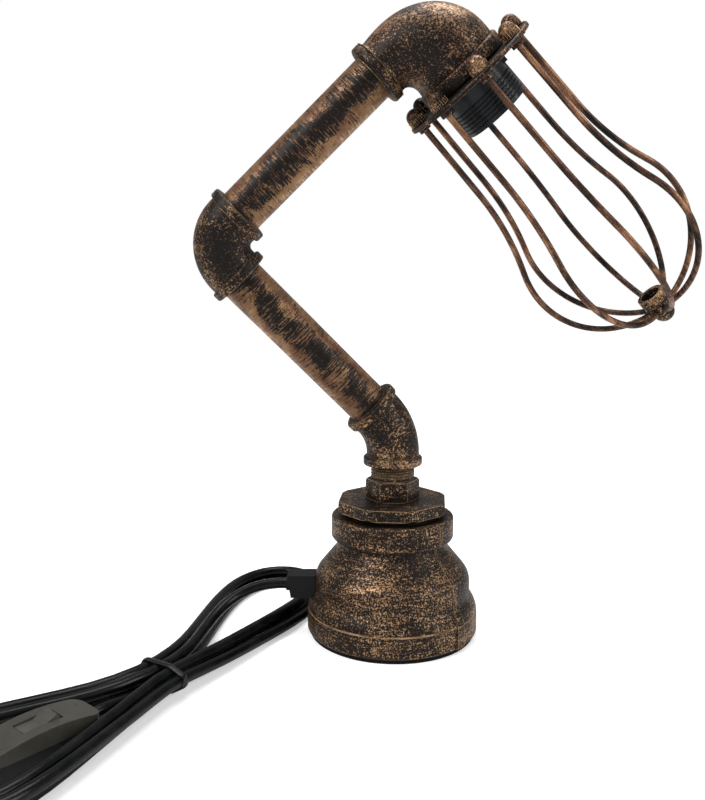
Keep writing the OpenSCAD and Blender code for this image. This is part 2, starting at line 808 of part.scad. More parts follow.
// Length along a path, and the least gap of a tube to itself more than far points away
function path_length(p, i = 0) = i >= len(p) - 1 ? 0 : norm(p[i + 1] - p[i]) + path_length(p, i + 1);
function self_gap(p, far) = min([for (i = [0:len(p) - 1 - far], j = [i + far:len(p) - 1])
    norm(p[i] - p[j])]) - cord_d;
echo(hank_length = path_length(hank_path), hank_gap = self_gap(hank_path, 5));
echo(hank_start = hank_path[0], hank_in = hank_in);
echo(hank_end = hank_path[hank_steps], hank_out = hank_out);

// Free stretches: chosen points, smoothed; each ends one diameter straight
tail_points = [[-68, 0, 30.2], [-75, 0, 30.1], [-85.5, -1.5, 28.9], [-95, -5.5, 26.4],
    [-103, -12, 23], [-109.5, -22, 19.3], [-114, -34.5, 16], [-117.5, -48, 13.8],
    [-120.5, -59, 12.6]];
tail_route = concat(tail_points, [hank_path[0] - cord_d * hank_in, hank_path[0]]);

switch_x = -174.5;
switch_y = -146.5;
switch_heading = 229;
switch_dir = [cos(switch_heading), sin(switch_heading), 0];
switch_parting = switch_h / 2;
cord_in = 2;
switch_centre = [switch_x, switch_y, switch_parting];
switch_near = switch_centre - (switch_l / 2 - cord_in) * switch_dir;
switch_far = switch_centre + (switch_l / 2 - cord_in) * switch_dir;
hank_end = hank_path[hank_steps];
lead_points = [[-136.5, -96.5, 5.2], [-144.8, -108.8, 6.8]];
lead_route = concat([hank_end, hank_end + cord_d * hank_out], lead_points,
    [switch_near - 1.5 * cord_d * switch_dir, switch_near]);

plug_x = -205;
plug_y = -255.6;
plug_heading = 348;
plug_dir = [cos(plug_heading), sin(plug_heading), 0];
plug_t = 13.7;
plug_z = plug_t / 2 + floor_lift;
plug_end = [plug_x, plug_y, plug_z];
plug_points = [[-208.5, -185.5, 13.3], [-219, -197.8, 17.9], [-224.5, -204, 18.4],
    [-230.5, -214.2, 16.8], [-232.3, -226, 12.7], [-229.6, -237.6, 9.2],
    [-222.7, -247.3, 7.2]];
plug_route = concat([switch_far, switch_far + 1.3 * cord_d * switch_dir], plug_points,
    [plug_end - cord_d * plug_dir, plug_end]);

tail_path = smooth_path(tail_route, 2);
lead_path = smooth_path(lead_route, 2);
plug_path = smooth_path(plug_route, 2);

module cord_tail() color(black) tube(tail_path, [-1, 0, 0], hank_in, cord_sides);
module switch_lead() color(black) tube(lead_path, hank_out, switch_dir, cord_sides);
module plug_lead() color(black) tube(plug_path, switch_dir, plug_dir, cord_sides);

echo(tail_length = path_length(tail_path), lead_length = path_length(lead_path),
    plug_length = path_length(plug_path));

// Flat band round the drawn-in loops
module cord_tie() {
    left = waist_half + cord_r - 0.4;
    right = -waist_half - cord_r - 2.2;
    inner_w = left - right;
    inner_h = layer_step + cord_d + 0.1;
    inner_z = tie_t + floor_lift + inner_h / 2;
    color("dimgray") translate([tie_x, tie_y, inner_z]) rotate([0, 0, tie_heading])
        translate([-tie_w / 2, (left + right) / 2, 0]) rotate([90, 0, 90]) linear_extrude(tie_w)
        difference() {
            rounded(inner_w + 2 * tie_t, inner_h + 2 * tie_t, 3 + tie_t);
            rounded(inner_w, inner_h, 3);
        }
}

// ---- switch in the lead ----

module at_switch() translate([switch_x, switch_y, 0]) rotate([0, 0, switch_heading]) children();

switch_wall = 3;
switch_corner = 6;
rocker_w = 10;
rocker_r = 9.8;
rocker_pin_r = 1.25;
pivot_z = switch_h - 4.4;
post_x = 20;
post_y = 5;
post_r = 2.8;
screw_r = 1.1;

module switch_outline() rounded(switch_l, switch_w, switch_corner);
module switch_hollow() rounded(switch_l - 2 * switch_wall, switch_w - 2 * switch_wall, 3);
module switch_posts() for (s = [-1, 1]) translate([s * post_x, s * post_y, 0]) children();

module cord_notches() {
    for (s = [-1, 1]) translate([s * (switch_l / 2 - switch_wall - 1), 0, switch_parting])
        rotate([0, s * 90, 0]) cylinder(r = cord_r + 0.1, h = switch_wall + 2);
}

module switch_base() {
    color(black) at_switch() difference() {
        union() {
            difference() {
                translate([0, 0, floor_lift]) linear_extrude(switch_parting - floor_lift)
                    switch_outline();
                translate([0, 0, 2]) linear_extrude(switch_parting) switch_hollow();
            }
            switch_posts() translate([0, 0, 1]) cylinder(r = post_r, h = switch_parting - 1);
        }
        cord_notches();
        switch_posts() {
            translate([0, 0, -1]) cylinder(r = screw_r + seat, h = switch_h);
            translate([0, 0, -1]) cylinder(r = 2.3, h = 2.6);
        }
    }
}

module switch_cover() {
    roof = 3;
    crown = 110;
    bearing_t = 2.2;
    color([0.36, 0.38, 0.34]) at_switch() difference() {
        union() {
            difference() {
                intersection() {
                    translate([0, 0, switch_parting]) linear_extrude(switch_h) switch_outline();
                    translate([0, switch_w, switch_h - crown]) rotate([90, 0, 0])
                        cylinder(r = crown, h = 2 * switch_w, $fn = 180);
                }
                linear_extrude(switch_h - roof) switch_hollow();
            }
            switch_posts() translate([0, 0, switch_parting])
                cylinder(r = post_r, h = switch_h - roof - switch_parting + 1);
            for (s = [-1, 1])
                translate([-2.6, s * (rocker_w / 2 + 0.25 + bearing_t / 2) - bearing_t / 2,
                    pivot_z - 2.4]) cube([5.2, bearing_t, 4]);
        }
        cord_notches();
        translate([0, 0, pivot_z + 4])
            cube([2 * rocker_r + 0.8, rocker_w + 0.5, 10], center = true);
        translate([0, switch_w, pivot_z]) rotate([90, 0, 0])
            intersection() {
                cylinder(r = rocker_pin_r + running, h = 2 * switch_w, $fn = 32);
                translate([-5, -5, switch_w - 8]) cube([10, 10, 16]);
            }
        switch_posts() cylinder(r = screw_r + seat, h = switch_h - roof);
    }
}

module switch_rocker() {
    vee = 3.3;
    slope = rocker_swing / 2;
    bottom = -1.8;
    pin_l = rocker_w + 4.6;
    color([0.45, 0.47, 0.43]) at_switch() translate([0, 0, pivot_z])
        rotate([0, slope, 0]) {
            translate([0, rocker_w / 2, 0]) rotate([90, 0, 0]) linear_extrude(rocker_w)
                intersection() {
                    circle(r = rocker_r);
                    polygon([[-rocker_r, bottom], [rocker_r, bottom],
                        [rocker_r, vee + rocker_r * tan(slope)], [0, vee],
                        [-rocker_r, vee + rocker_r * tan(slope)]]);
                }
            translate([0, pin_l / 2, 0]) rotate([90, 0, 0])
                cylinder(r = rocker_pin_r, h = pin_l, $fn = 32);
        }
}

module switch_contacts() {
    strip_t = 0.8;
    color(brass_tone) at_switch() for (s = [-1, 1]) {
        translate([s * 13 - 5, -2, 2]) cube([10, 4, strip_t]);
        translate([s * 9 - strip_t / 2, -2, 2]) cube([strip_t, 4, 4.2]);
    }
}

module switch_screws() {
    color(brass_tone) at_switch() switch_posts() {
        translate([0, 0, 0.6]) cylinder(r = 2.1, h = 1);
        translate([0, 0, 1.6]) cylinder(r = screw_r, h = 9.4);
    }
}

// ---- plug ----

plug_l = 36;
plug_w = 35.3;
pin_pitch = 19;
pin_r = 2;
pin_l = 19;
sleeve_r = 1.8;
sleeve_l = 10;

module at_plug() translate(plug_end) rotate([0, 0, plug_heading]) children();

// Flat two-pin plug: plan outline met by a side outline that thickens to the pin face
module plug_body() {
    color(black) at_plug() difference() {
        intersection() {
            translate([0, 0, -plug_t / 2]) linear_extrude(plug_t) polygon(concat(
                [[0, -4.6], [9, -5.2], [17, -12], [26, -plug_w / 2 + 0.6]],
                arc(plug_l - 2, -plug_w / 2 + 2, 2, -90, 0, 4),
                arc(plug_l - 2, plug_w / 2 - 2, 2, 0, 90, 4),
                [[26, plug_w / 2 - 0.6], [17, 12], [9, 5.2], [0, 4.6]]));
            translate([0, plug_w, 0]) rotate([90, 0, 0]) linear_extrude(2 * plug_w) polygon(
                [[0, -4.6], [9, -5.2], [20, -plug_t / 2], [plug_l - 1, -plug_t / 2],
                 [plug_l, -plug_t / 2 + 1], [plug_l, plug_t / 2 - 1], [plug_l - 1, plug_t / 2],
                 [20, plug_t / 2], [9, 5.2], [0, 4.6]]);
        }
        for (s = [-1, 1]) translate([plug_l - 6, s * pin_pitch / 2, 0]) rotate([0, 90, 0])
            cylinder(r = sleeve_r + seat, h = 10);
    }
}

// Pins with a thinner sleeved root and a full, rounded tip
module plug_pins() {
    rooted = 5.8;
    tip_edge = 1.2;
    color(brass_tone) at_plug() for (s = [-1, 1])
        translate([plug_l - rooted, s * pin_pitch / 2, 0]) rotate([0, 90, 0]) rotate_extrude()
            polygon(concat([[0, 0], [sleeve_r, 0], [sleeve_r, rooted + sleeve_l],
                    [pin_r, rooted + sleeve_l]],
                arc(pin_r - tip_edge, pin_l + rooted - tip_edge, tip_edge, 0, 90, 4),
                [[0, pin_l + rooted]]));
}

base_socket();
base_pad();
octagon_bushing();
hex_nipple();
elbow_45();
lower_pipe();
elbow_90();
upper_pipe();
reducing_elbow();
cage_plate();
cage_wires();
cage_nuts();
cage_collars();
cage_ring();
cage_finial();
holder_shell();
holder_cap();
holder_insulator();
holder_thread_shell();
holder_contact();
holder_terminals();
lead_base();
lead_lower();
lead_upper();
lead_head();
cord_gland();
gland_nut();
cord_tail();
cord_hank();
cord_tie();
switch_lead();
switch_base();
switch_cover();
switch_rocker();
switch_contacts();
switch_screws();
plug_lead();
plug_body();
plug_pins();
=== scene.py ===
"""Looks of the pipe table lamp: camera, mains lead, finishes, threads and fine details."""

import json
import math

import bmesh
import bpy
from mathutils import Matrix, Vector


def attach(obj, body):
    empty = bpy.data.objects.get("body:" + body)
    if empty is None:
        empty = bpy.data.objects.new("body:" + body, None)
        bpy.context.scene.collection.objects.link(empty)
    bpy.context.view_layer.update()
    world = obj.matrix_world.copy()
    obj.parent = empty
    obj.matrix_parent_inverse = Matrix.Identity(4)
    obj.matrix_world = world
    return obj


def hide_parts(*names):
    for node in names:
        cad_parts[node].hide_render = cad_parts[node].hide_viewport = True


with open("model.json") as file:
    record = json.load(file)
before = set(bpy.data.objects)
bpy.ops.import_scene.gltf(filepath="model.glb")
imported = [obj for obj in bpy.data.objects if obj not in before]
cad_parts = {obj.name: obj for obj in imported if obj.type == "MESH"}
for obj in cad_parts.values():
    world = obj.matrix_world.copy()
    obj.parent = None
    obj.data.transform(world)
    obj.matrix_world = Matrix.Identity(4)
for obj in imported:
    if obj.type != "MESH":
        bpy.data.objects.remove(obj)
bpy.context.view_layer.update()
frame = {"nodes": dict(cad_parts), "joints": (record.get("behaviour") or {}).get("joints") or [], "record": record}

MM = 0.001
NODES = frame["nodes"]
JOINTS = {j["name"]: j for j in frame["joints"]}
MOUNTS = {m["name"]: m for m in frame["record"]["mounts"]}

# ---------------------------------------------------------------- camera

# Place in mm in the shared frame; the focal length is counted in pixels of the photo
PHOTO_W = 705
FOCAL_PX = 836
SENSOR_MM = 36
CAMERA_MM = (-25.4, -517.35, 223.6)
CAMERA_PITCH_DEG = 8.14


def make_camera():
    data = bpy.data.cameras.new("camera")
    data.sensor_fit = "HORIZONTAL"
    data.sensor_width = SENSOR_MM
    data.lens = FOCAL_PX / PHOTO_W * SENSOR_MM
    camera = bpy.data.objects.new("camera", data)
    camera.location = [x * MM for x in CAMERA_MM]
    camera.rotation_euler = (math.radians(90 - CAMERA_PITCH_DEG), 0, 0)
    bpy.context.scene.collection.objects.link(camera)
    bpy.context.scene.camera = camera


make_camera()

# ---------------------------------------------------------------- places

Z_UP = Vector((0, 0, 1))
NIPPLE_FACE = Vector(JOINTS["arm_swivel"]["pos_m"])
P1 = Vector(JOINTS["elbow_swivel"]["pos_m"])
U1 = Vector(JOINTS["elbow_swivel"]["axis"])
P2 = Vector(JOINTS["head_swivel"]["pos_m"])
U2 = Vector(JOINTS["head_swivel"]["axis"])
U3 = Vector(MOUNTS["lamp_thread"]["axis"])
ELBOW_45_REACH = 22.5
ELBOW_45_CENTRE = NIPPLE_FACE + ELBOW_45_REACH * MM * Z_UP


def place(origin, axis, sideways):
    """Matrix of a frame with z along axis and x as near sideways as it can be."""
    z = axis.normalized()
    x = (sideways - sideways.dot(z) * z).normalized()
    y = z.cross(x)
    m = Matrix((x, y, z)).transposed().to_4x4()
    m.translation = origin
    return m


# Frames with z along the axis of the pieces that a finish or a thread runs round
FOOT = place(Vector((0, 0, 0)), Z_UP, Vector((1, 0, 0)))
LOWER = place(ELBOW_45_CENTRE, U1, Vector((-1, 0, 0)))
UPPER = place(P1, U2, U3)
HEAD = place(P2, U3, -U2)

# ---------------------------------------------------------------- cords

# The route is that of the lead's nodes. Lengths are in mm, angles in degrees.
CORD_D = 6.6
FLOOR_LIFT = 0.1
TIE_X, TIE_Y, TIE_HEADING = -130, -84, 60
TIE_BEND, TIE_BEND_TURN = 100, 22
LOBE_FAR, LOBE_NEAR = 178, 152
LOBE_FAR_SWELL, LOBE_NEAR_SWELL = 56, 88
SWELL_POWER = 1.6
WAIST_HALF = 12.9
LOOP_STEP, LAYER_STEP = CORD_D + 0.65, CORD_D + 0.5
TIE_T, TIE_PLAY, TIE_RISE_SPAN = 1.2, 0.3, 34
LOOP_FROM, LOOP_TO, TURN_BACK, CLIMB_HALF = 92, 1172, 1.5, 0.13
LOOP_POINTS, ROUTE_STEPS = 72, 6

TAIL_POINTS = [(-68, 0, 30.2), (-75, 0, 30.1), (-85.5, -1.5, 28.9), (-95, -5.5, 26.4),
               (-103, -12, 23), (-109.5, -22, 19.3), (-114, -34.5, 16), (-117.5, -48, 13.8),
               (-120.5, -59, 12.6)]
LEAD_POINTS = [(-136.5, -96.5, 5.2), (-144.8, -108.8, 6.8)]
PLUG_POINTS = [(-208.5, -185.5, 13.3), (-219, -197.8, 17.9), (-224.5, -204, 18.4),
               (-230.5, -214.2, 16.8), (-232.3, -226, 12.7), (-229.6, -237.6, 9.2),
               (-222.7, -247.3, 7.2)]
SWITCH_X, SWITCH_Y, SWITCH_HEADING = -174.5, -146.5, 229
SWITCH_L, SWITCH_H, CORD_IN = 56, 17, 2
PLUG_X, PLUG_Y, PLUG_HEADING, PLUG_T = -205, -255.6, 348, 13.7


def heading_vector(degrees):
    a = math.radians(degrees)
    return Vector((math.cos(a), math.sin(a), 0))


def beside_bundle(u, v, z):
    """Point u mm along the tied bundle's own axis, v mm to its left, at height z."""
    held = max(-TIE_BEND / 2, min(TIE_BEND / 2, u))
    heading = math.radians(TIE_HEADING + TIE_BEND_TURN * held / TIE_BEND)
    start = math.radians(TIE_HEADING)
    r = TIE_BEND / math.radians(TIE_BEND_TURN)
    rest = u - held
    x = TIE_X + r * (math.sin(heading) - math.sin(start)) + rest * math.cos(heading)
    y = TIE_Y - r * (math.cos(heading) - math.cos(start)) + rest * math.sin(heading)
    return Vector((x - v * math.sin(heading), y + v * math.cos(heading), z))


def loop_uv(degrees):
    """Outermost turn of the loops in the bundle's own plane, in mm."""
    t = math.radians(degrees)
    u = (LOBE_FAR - LOBE_NEAR) / 2 + (LOBE_FAR + LOBE_NEAR) / 2 * math.cos(t)
    share = u / LOBE_FAR if u > 0 else -u / LOBE_NEAR
    swell = LOBE_FAR_SWELL if u > 0 else LOBE_NEAR_SWELL
    return Vector((u, math.sin(t) * (WAIST_HALF + swell * share ** SWELL_POWER)))


def smoothstep(x):
    x = max(0.0, min(1.0, x))
    return x * x * (3 - 2 * x)


def hank_point(t):
    """Centre of the lead at t degrees along the loops, in mm."""
    s = (t - LOOP_FROM) / 360
    inward = LOOP_STEP * abs(s - TURN_BACK)
    along = loop_uv(t + 1) - loop_uv(t - 1)
    at = loop_uv(t) + inward * Vector((-along[1], along[0])) / along.length
    down = smoothstep((s - TURN_BACK + CLIMB_HALF) / (2 * CLIMB_HALF))
    rise = (TIE_T + TIE_PLAY) * math.exp(-(at[0] / TIE_RISE_SPAN) ** 2)
    z = CORD_D / 2 + FLOOR_LIFT + LAYER_STEP * (1 - down) + rise
    return beside_bundle(at[0], at[1], z)


def smooth_path(points, steps):
    """Smooth curve through the points, steps pieces between two of them."""
    last = len(points) - 1
    found = []
    for i in range(last):
        b, c = points[i], points[i + 1]
        a = points[i - 1] if i > 0 else 2 * b - c
        d = points[i + 2] if i < last - 1 else 2 * c - b
        for k in range(steps):
            t = k / steps
            found.append(0.5 * (2 * b + (c - a) * t + (2 * a - 5 * b + 4 * c - d) * t * t
                                + (3 * b - a - 3 * c + d) * t ** 3))
    return found + [points[last]]


def hank_heading(t):
    return (hank_point(t + 0.5) - hank_point(t - 0.5)).normalized()


def cord_paths():
    """Centrelines in mm: from the outlet to the switch, and from the switch to the plug."""
    count = round((LOOP_TO - LOOP_FROM) / 360 * LOOP_POINTS)
    loops = [hank_point(LOOP_FROM + (LOOP_TO - LOOP_FROM) * i / count) for i in range(count + 1)]
    first, final = hank_heading(LOOP_FROM), hank_heading(LOOP_TO)
    tail = [Vector(p) for p in TAIL_POINTS] + [loops[0] - CORD_D * first, loops[0]]
    along = heading_vector(SWITCH_HEADING)
    centre = Vector((SWITCH_X, SWITCH_Y, SWITCH_H / 2))
    near = centre - (SWITCH_L / 2 - CORD_IN) * along
    far = centre + (SWITCH_L / 2 - CORD_IN) * along
    lead = [loops[-1], loops[-1] + CORD_D * final] + [Vector(p) for p in LEAD_POINTS]
    lead += [near - 1.5 * CORD_D * along, near]
    plug_along = heading_vector(PLUG_HEADING)
    plug_end = Vector((PLUG_X, PLUG_Y, PLUG_T / 2 + FLOOR_LIFT))
    plug = [far, far + 1.3 * CORD_D * along] + [Vector(p) for p in PLUG_POINTS]
    plug += [plug_end - CORD_D * plug_along, plug_end]
    to_switch = smooth_path(tail, ROUTE_STEPS)[:-1] + loops + smooth_path(lead, ROUTE_STEPS)[1:]
    return to_switch, smooth_path(plug, ROUTE_STEPS)


def cord_curve(name, path):
    """Round cord as a curve of one open spline along a path in mm."""
    data = bpy.data.curves.new(name, "CURVE")
    data.dimensions = "3D"
    data.bevel_depth = 1
    data.bevel_resolution = 6
    data.use_fill_caps = True
    spline = data.splines.new("POLY")
    spline.points.add(len(path) - 1)
    for point, at in zip(spline.points, path):
        point.co = (at[0] * MM, at[1] * MM, at[2] * MM, 1)
        point.radius = CORD_D / 2 * MM
    spline.use_smooth = True
    obj = bpy.data.objects.new(name, data)
    bpy.context.scene.collection.objects.link(obj)
    return obj


path_to_switch, path_to_plug = cord_paths()
lead_cord = cord_curve("mains_lead", path_to_switch)
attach(lead_cord, "foot")
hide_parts("cord_tail", "cord_hank", "switch_lead")
plug_cord = cord_curve("plug_lead_cord", path_to_plug)
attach(plug_cord, "foot")
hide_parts("plug_lead")

# ---------------------------------------------------------------- materials


def srgb(r, g, b):
    """Linear colour from 8-bit values as a picture holds them."""
    linear = []
    for c in (r / 255, g / 255, b / 255):
        linear.append(c / 12.92 if c <= 0.04045 else ((c + 0.055) / 1.055) ** 2.4)
    return (*linear, 1)


class Finish:
    """One procedural material, with short names for the nodes that it is made of."""

    def __init__(self, name, at=None, **constants):
        self.material = bpy.data.materials.new(name)
        self.material.use_nodes = True
        self.tree = self.material.node_tree
        self.tree.nodes.clear()
        output = self.tree.nodes.new("ShaderNodeOutputMaterial")
        self.shader = self.tree.nodes.new("ShaderNodeBsdfPrincipled")
        self.tree.links.new(self.shader.outputs[0], output.inputs["Surface"])
        for socket, value in constants.items():
            self.shader.inputs[socket.replace("_", " ")].default_value = value
        self.normal = None
        coordinates = self.tree.nodes.new("ShaderNodeTexCoord").outputs["Object"]
        self.point = coordinates
        if at is not None:
            mapping = self.tree.nodes.new("ShaderNodeMapping")
            mapping.vector_type = "TEXTURE"
            mapping.inputs["Location"].default_value = at.to_translation()
            mapping.inputs["Rotation"].default_value = at.to_euler()
            self.tree.links.new(coordinates, mapping.inputs["Vector"])
            self.point = mapping.outputs[0]

    def put(self, socket, value):
        """Links a node's output to the socket, or sets the socket to a constant."""
        if isinstance(value, bpy.types.NodeSocket):
            self.tree.links.new(value, socket)
        else:
            socket.default_value = value

    def maths(self, operation, *values):
        node = self.tree.nodes.new("ShaderNodeMath")
        node.operation = operation
        for socket, value in zip(node.inputs, values):
            self.put(socket, value)
        return node.outputs[0]

    def noise(self, size, detail=3, roughness=0.55, shift=0.0):
        """Noise of that feature size in mm, one number or one for each axis."""
        sizes = size if isinstance(size, tuple) else (size,) * 3
        stretch = self.tree.nodes.new("ShaderNodeVectorMath")
        stretch.operation = "MULTIPLY_ADD"
        stretch.inputs[1].default_value = [1 / (s * MM) for s in sizes]
        stretch.inputs[2].default_value = (shift, shift * 0.7, shift * 1.3)
        self.tree.links.new(self.point, stretch.inputs[0])
        node = self.tree.nodes.new("ShaderNodeTexNoise")
        node.inputs["Scale"].default_value = 1
        node.inputs["Detail"].default_value = detail
        node.inputs["Roughness"].default_value = roughness
        self.tree.links.new(stretch.outputs[0], node.inputs["Vector"])
        return node.outputs[0]

    def blend_of(self, *pairs):
        """Weighted sum of (value, weight) pairs."""
        total = None
        for value, weight in pairs:
            part = self.maths("MULTIPLY", value, weight)
            total = part if total is None else self.maths("ADD", total, part)
        return total

    def step(self, value, low, high, start=0.0, end=1.0):
        """Smooth change from start to end while the value goes from low to high."""
        node = self.tree.nodes.new("ShaderNodeMapRange")
        node.interpolation_type = "SMOOTHSTEP"
        for name, x in (("Value", value), ("From Min", low), ("From Max", high),
                        ("To Min", start), ("To Max", end)):
            self.put(node.inputs[name], x)
        return node.outputs[0]

    def mix(self, share, a, b):
        node = self.tree.nodes.new("ShaderNodeMix")
        node.data_type = "RGBA"
        self.put(node.inputs[0], share)
        self.put(node.inputs[6], a)
        self.put(node.inputs[7], b)
        return node.outputs[2]

    def edges(self, radius):
        """Mask of the outer edges, from the normal that a bevel of that radius would have."""
        bevel = self.tree.nodes.new("ShaderNodeBevel")
        bevel.samples = 6
        bevel.inputs["Radius"].default_value = radius * MM
        geometry = self.tree.nodes.new("ShaderNodeNewGeometry")
        dot = self.tree.nodes.new("ShaderNodeVectorMath")
        dot.operation = "DOT_PRODUCT"
        self.tree.links.new(bevel.outputs[0], dot.inputs[0])
        self.tree.links.new(geometry.outputs["Normal"], dot.inputs[1])
        return self.step(self.maths("SUBTRACT", 1.0, dot.outputs["Value"]), 0.01, 0.18)

    def corners(self, reach):
        """Openness of the surface: low in corners and gaps within that many mm."""
        node = self.tree.nodes.new("ShaderNodeAmbientOcclusion")
        node.samples = 8
        node.inputs["Distance"].default_value = reach * MM
        return node.outputs["AO"]

    def facing(self, direction):
        """How far the surface faces a direction of the object's own frame, from -1 to 1."""
        dot = self.tree.nodes.new("ShaderNodeVectorMath")
        dot.operation = "DOT_PRODUCT"
        dot.inputs[1].default_value = Vector(direction).normalized()
        normal = self.tree.nodes.new("ShaderNodeTexCoord").outputs["Normal"]
        self.tree.links.new(normal, dot.inputs[0])
        return dot.outputs["Value"]

    def outward(self, at):
        """How far the surface faces away from the axis of a frame, from -1 to 1."""
        flat = self.tree.nodes.new("ShaderNodeVectorMath")
        flat.operation = "MULTIPLY"
        flat.inputs[1].default_value = (1, 1, 0)
        self.tree.links.new(self.point, flat.inputs[0])
        away = self.tree.nodes.new("ShaderNodeVectorMath")
        away.operation = "NORMALIZE"
        self.tree.links.new(flat.outputs["Vector"], away.inputs[0])
        turned = self.tree.nodes.new("ShaderNodeMapping")
        turned.vector_type = "VECTOR"
        turned.inputs["Rotation"].default_value = at.inverted().to_euler()
        normal = self.tree.nodes.new("ShaderNodeTexCoord").outputs["Normal"]
        self.tree.links.new(normal, turned.inputs["Vector"])
        dot = self.tree.nodes.new("ShaderNodeVectorMath")
        dot.operation = "DOT_PRODUCT"
        self.tree.links.new(away.outputs["Vector"], dot.inputs[0])
        self.tree.links.new(turned.outputs["Vector"], dot.inputs[1])
        return dot.outputs["Value"]

    def along(self):
        """Distance along the frame's axis, in mm."""
        axes = self.tree.nodes.new("ShaderNodeSeparateXYZ")
        self.tree.links.new(self.point, axes.inputs[0])
        return self.maths("DIVIDE", axes.outputs["Z"], MM)

    def bump(self, height, depth):
        """Adds relief of that depth in mm."""
        node = self.tree.nodes.new("ShaderNodeBump")
        node.inputs["Distance"].default_value = depth * MM
        node.inputs["Strength"].default_value = 1
        self.tree.links.new(height, node.inputs["Height"])
        if self.normal is not None:
            self.tree.links.new(self.normal, node.inputs["Normal"])
        self.normal = node.outputs[0]
        self.tree.links.new(self.normal, self.shader.inputs["Normal"])

    def set(self, **sockets):
        """Sets or links the shader's sockets and hands over the material."""
        for name, value in sockets.items():
            self.put(self.shader.inputs[name.replace("_", " ")], value)
        return self.material


BLACK_COAT = srgb(18, 14, 12)
RED_BROWN = srgb(98, 66, 47)
BRONZE = srgb(132, 101, 70)
COPPER = srgb(194, 157, 116)
PALE_COPPER = srgb(226, 188, 142)
GRAIN, PATCH = 1.0, 19


def aged_metal(name, at, streak, cover=0.5, soft=0.022, relief=0.12, weights=(0.2, 0.5, 0.3),
               light=COPPER, base=BRONZE, edge=0.7, shift=0.0, painted_dark_reflection=None, depth=0.09,
               outside=0.0, ledge=None):
    """Black coat with bronze brushed over it, worn to copper on edges and left dark in corners, partly as painted
    shade.

    streak is the size of the brush marks in mm, weights are the shares of brush marks, specks
    and patches, and cover is the share of the surface that the bronze takes. painted_dark_reflection
    is the direction of the sides that get a painted dark reflection, facing it or the opposite way,
    outside is how much more bronze the side away from the axis gets, as painted highlight there
    and painted shade on the side towards the axis, and ledge is the distance along the axis, in
    mm, at which a band ends in a small worn step."""
    m = Finish(name, at)
    streaks = m.noise(streak, 5, 0.6, shift)
    specks = m.noise(GRAIN, 3, 0.7, shift + 5)
    patches = m.noise(PATCH, 2, 0.5, shift + 9)
    height = m.blend_of((streaks, weights[0]), (specks, weights[1]), (patches, weights[2]))
    # Painted shade: the bronze thins where the surface is enclosed within 6 mm, so corners and gaps against other
    # parts go dark; in a casting's own hollows it also stands for black coat that the brush missed.
    corners = m.step(m.corners(6), 0.35, 0.85, 0.16, 0.0)
    height = m.maths("SUBTRACT", height, corners)
    # Painted dark reflection: the bronze is thinned on the sides that face this direction or the opposite way, a
    # dark band standing in for dark surroundings mirrored in the metal.
    if painted_dark_reflection is not None:
        side = m.maths("ABSOLUTE", m.facing(painted_dark_reflection))
        ragged = m.blend_of((side, 1.0), (patches, 1.8), (streaks, 0.9))
        height = m.maths("SUBTRACT", height, m.step(ragged, 1.9, 2.4, 0.0, depth))
    # Painted highlight and shade: the side facing away from the axis gets more bronze and the side towards it
    # less, standing in for light on the outside of the cage and shade inside it.
    if outside:
        height = m.maths("ADD", height, m.step(m.outward(at), -0.7, 0.8, -outside, outside))
    covered = m.step(height, 1 - cover - soft, 1 - cover + soft)
    bronze = m.mix(m.step(m.noise(9, 3, 0.6, shift + 3), 0.35, 0.7), RED_BROWN, base)
    bronze = m.mix(m.step(height, 0.5, 0.68), bronze, light)
    colour = m.mix(covered, BLACK_COAT, bronze)
    worn = m.maths("MULTIPLY", m.edges(edge), m.step(specks, 0.36, 0.6, 0.3, 1.0))
    m.bump(m.noise(GRAIN * 1.5, 4, 0.6, shift + 7), relief)
    if ledge is not None:
        m.bump(m.step(m.along(), ledge - 0.4, ledge + 0.4, 1.0, 0.0), 0.8)
        off = m.maths("ABSOLUTE", m.maths("SUBTRACT", m.along(), ledge))
        line = m.maths("MULTIPLY", m.step(off, 0.3, 0.8, 1.0, 0.0),
                       m.step(streaks, 0.4, 0.62, 0.1, 0.65))
        worn = m.maths("MAXIMUM", worn, line)
    colour = m.mix(worn, colour, light)
    bare = m.maths("MAXIMUM", covered, worn)
    m.bump(covered, 0.05)
    return m.set(Base_Color=colour, Metallic=m.step(bare, 0, 1, 0.0, 0.55),
                 Specular_IOR_Level=m.step(bare, 0, 1, 0.14, 0.3),
                 Roughness=m.step(bare, 0, 1, 0.46, 0.4))


def plastic(name, colour, roughness, at=None, grain=0.5, relief=0.02, gloss=0.35):
    """Moulded plastic or rubber with a fine spark-eroded grain and faint handling marks."""
    m = Finish(name, at, Specular_IOR_Level=gloss)
    marks = m.noise(14, 3, 0.6)
    m.bump(m.noise(grain, 2, 0.5), relief)
    paler = tuple(min(1.0, c * 1.5 + 0.004) for c in colour[:3]) + (1,)
    return m.set(Base_Color=m.mix(m.step(marks, 0.35, 0.75, 0.0, 0.6), colour, paler),
                 Roughness=m.step(marks, 0.3, 0.7, roughness - 0.05, roughness + 0.07))


def bare_metal(name, colour):
    """Turned metal with faint tool marks and tarnish."""
    m = Finish(name, Metallic=1.0)
    tarnish = m.step(m.noise(5, 5, 0.65), 0.4, 0.7)
    dull = tuple(c * 0.55 for c in colour[:3]) + (1,)
    m.bump(m.noise((3, 3, 0.25), 2, 0.5), 0.015)
    return m.set(Base_Color=m.mix(m.maths("MULTIPLY", tarnish, 0.6), colour, dull),
                 Roughness=m.step(tarnish, 0, 1, 0.28, 0.46))


def paint(material, *nodes):
    """Gives CAD nodes or new pieces their material."""
    for node in nodes:
        obj = NODES[node] if isinstance(node, str) else node
        obj.data.materials.clear()
        obj.data.materials.append(material)
